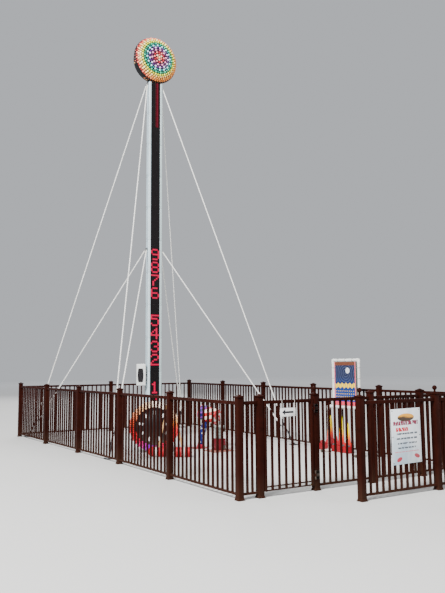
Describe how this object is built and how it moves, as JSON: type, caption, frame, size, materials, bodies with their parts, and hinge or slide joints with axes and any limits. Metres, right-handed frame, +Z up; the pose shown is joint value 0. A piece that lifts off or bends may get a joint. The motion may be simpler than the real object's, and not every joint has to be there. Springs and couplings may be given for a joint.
{
  "type": "high striker in a railed court",
  "caption": "Guyed high-striker tower with a lamp dome, striking pedestal and picket-railed court with a hinged exit gate.",
  "frame": {"origin": "on the ground, centre of the underside of the column's foot plate", "axes": "+Z up, -Y the way the tower's display faces (towards the exit gate), +X to the right of somebody facing the display"},
  "size_m": [4.3428, 9.3848, 8.63],
  "materials": {
    "fence_paint": "semi-gloss chocolate brown paint",
    "column_white": "satin off-white paint",
    "display_black": "black display face with lit dots",
    "light_strip": "opal white light strip",
    "lamp_lens": "rings of coloured lamp caps",
    "black_paint": "satin black paint",
    "red_paint": "gloss red paint",
    "dark_steel": "dull dark steel",
    "rope_white": "laid white rope",
    "rubber_black": "matt black rubber",
    "sign_white": null,
    "poster_print": "blue printed board with a pink edge",
    "mallet_blue": "satin blue with white spots",
    "mallet_stripe": "white with red stripes",
    "flame_paint": "gloss paint, from yellow tips to a red foot"
  },
  "bodies": {
    "court_and_tower": {"front_fence_1": "fence_paint", "front_fence_2": "fence_paint", "front_fence_3": "fence_paint", "front_fence_filler": "fence_paint", "right_fence_1": "fence_paint", "right_fence_2": "fence_paint", "right_fence_3": "fence_paint", "right_fence_4": "fence_paint", "right_fence_5": "fence_paint", "rear_fence_1": "fence_paint", "rear_fence_2": "fence_paint", "left_fence_1": "fence_paint", "left_fence_2": "fence_paint", "left_fence_3": "fence_paint", "left_fence_4": "fence_paint", "left_fence_5": "fence_paint", "lane_fence_1": "fence_paint", "lane_fence_2": "fence_paint", "column_foot": "dark_steel", "column_housing": "column_white", "display_panel": "display_black", "light_strip_left": "light_strip", "light_strip_right": "light_strip", "head_dome": "lamp_lens", "head_drum": "black_paint", "head_saddle": "black_paint", "guy_yoke_upper": "dark_steel", "guy_yoke_lower": "dark_steel", "loudspeaker": "column_white", "strike_plate": "red_paint", "strike_housing": "red_paint", "strike_pad": "rubber_black", "lamp_board_ring": "lamp_lens", "lamp_board_face": "black_paint", "show_mallet_handle": "mallet_blue", "show_mallet_head": "mallet_stripe", "mallet_left": "red_paint", "mallet_right": "red_paint", "flame_board": "flame_paint", "gate_hinge_upper": "dark_steel", "gate_hinge_lower": "dark_steel", "gate_keeper": "dark_steel", "poster_frame": "column_white", "poster_board": "poster_print", "lane_board": "sign_white", "guy_anchor_front_left": "dark_steel", "guy_rope_upper_front_left": "rope_white", "guy_rope_lower_front_left": "rope_white", "guy_anchor_front_right": "dark_steel", "guy_rope_upper_front_right": "rope_white", "guy_rope_lower_front_right": "rope_white", "guy_anchor_rear_left": "dark_steel", "guy_rope_upper_rear_left": "rope_white", "guy_rope_lower_rear_left": "rope_white", "guy_anchor_rear_right": "dark_steel", "guy_rope_upper_rear_right": "rope_white", "guy_rope_lower_rear_right": "rope_white"},
    "exit_gate": {"gate_leaf": "fence_paint", "gate_sign": "sign_white"}
  },
  "joints": [
    {"name": "exit_gate_hinge", "type": "hinge", "parent": "court_and_tower", "child": "exit_gate", "pos_m": [-0.844, -6.1778, 0], "axis": [0, 0, 1], "range_deg": [0, 90]}
  ]
}
